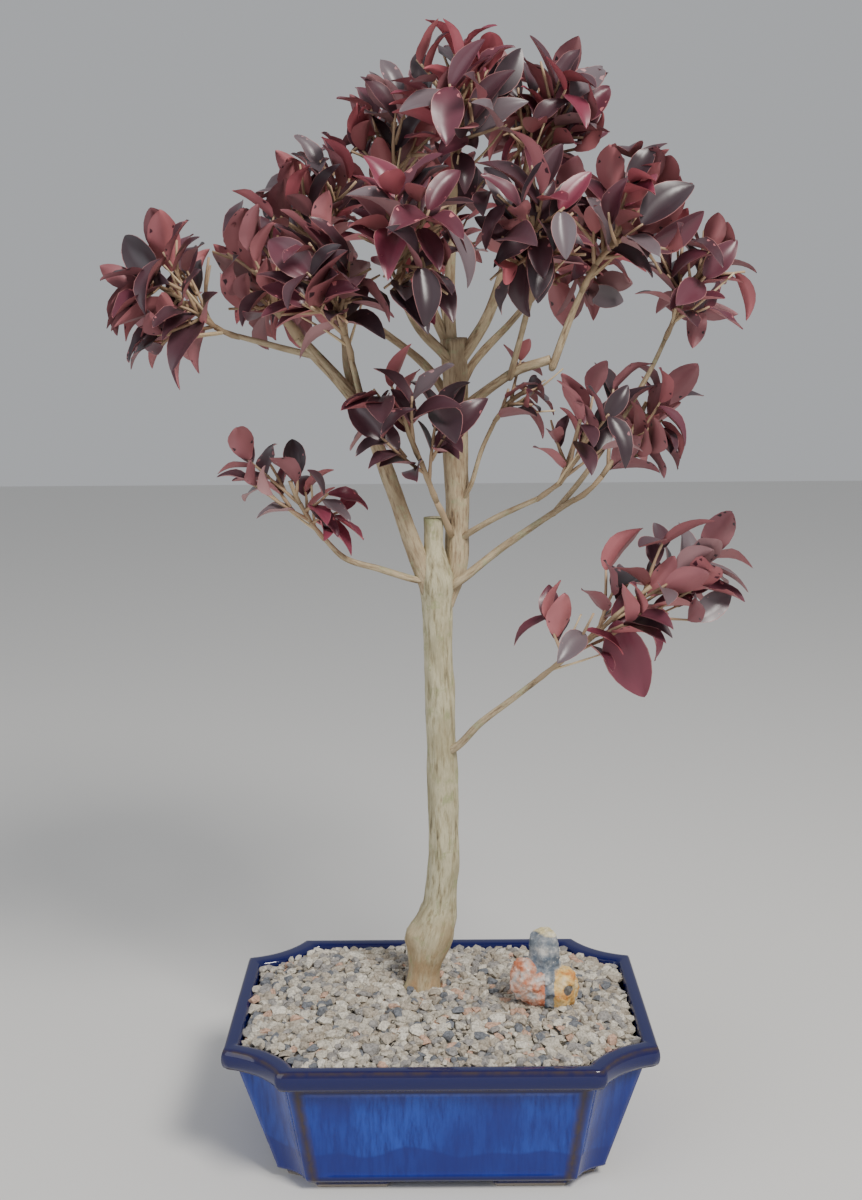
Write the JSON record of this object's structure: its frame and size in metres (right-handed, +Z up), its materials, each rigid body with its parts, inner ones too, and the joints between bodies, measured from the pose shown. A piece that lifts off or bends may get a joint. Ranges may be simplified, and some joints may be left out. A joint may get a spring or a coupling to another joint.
{
  "type": "crape myrtle bonsai in a glazed pot",
  "caption": "Bonsai tree with a straight trunk, an open spreading crown of dark red leaves, and a rectangular cut-corner glazed pot filled with gravel.",
  "frame": {"origin": "middle of the plane that the pot's feet stand on", "axes": "+Z up along the tree, +X to the right and +Y to the back, with the pot's long side facing -Y"},
  "size_m": [0.3584, 0.217, 0.6479],
  "materials": {
    "pot_glaze": "glossy cobalt blue glaze over stoneware",
    "gravel": "crushed grey and tan gravel",
    "rock": "rough grey, ochre and salmon stone",
    "bark": "fissured pale bark",
    "foliage": "dark purple and wine red leaves"
  },
  "bodies": {
    "root": {"pot": "pot_glaze", "gravel_bed": "gravel", "accent_rock": "rock", "trunk": "bark", "leader": "bark", "left_bough": "bark", "left_outer_bough": "bark", "left_side_bough": "bark", "left_front_bough": "bark", "left_low_bough": "bark", "front_bough": "bark", "top_left_bough": "bark", "top_bough": "bark", "top_right_bough": "bark", "right_bough": "bark", "right_bough_upright": "bark", "right_front_bough": "bark", "right_thin_bough": "bark", "right_low_bough": "bark", "right_outer_bough": "bark", "lowest_bough": "bark", "right_twig": "bark", "back_left_bough": "bark", "back_bough": "bark", "back_right_bough": "bark", "foliage_left_tip": "foliage", "foliage_left": "foliage", "foliage_upper_left": "foliage", "foliage_left_front": "foliage", "foliage_left_low": "foliage", "foliage_front": "foliage", "foliage_top_left": "foliage", "foliage_top": "foliage", "foliage_top_right": "foliage", "foliage_right_front": "foliage", "foliage_upper_right": "foliage", "foliage_right_tip": "foliage", "foliage_right": "foliage", "foliage_right_inner": "foliage", "foliage_lowest": "foliage", "foliage_trunk_front": "foliage", "foliage_right_sprig": "foliage", "foliage_back_left": "foliage", "foliage_back": "foliage", "foliage_back_right": "foliage"}
  },
  "joints": []
}
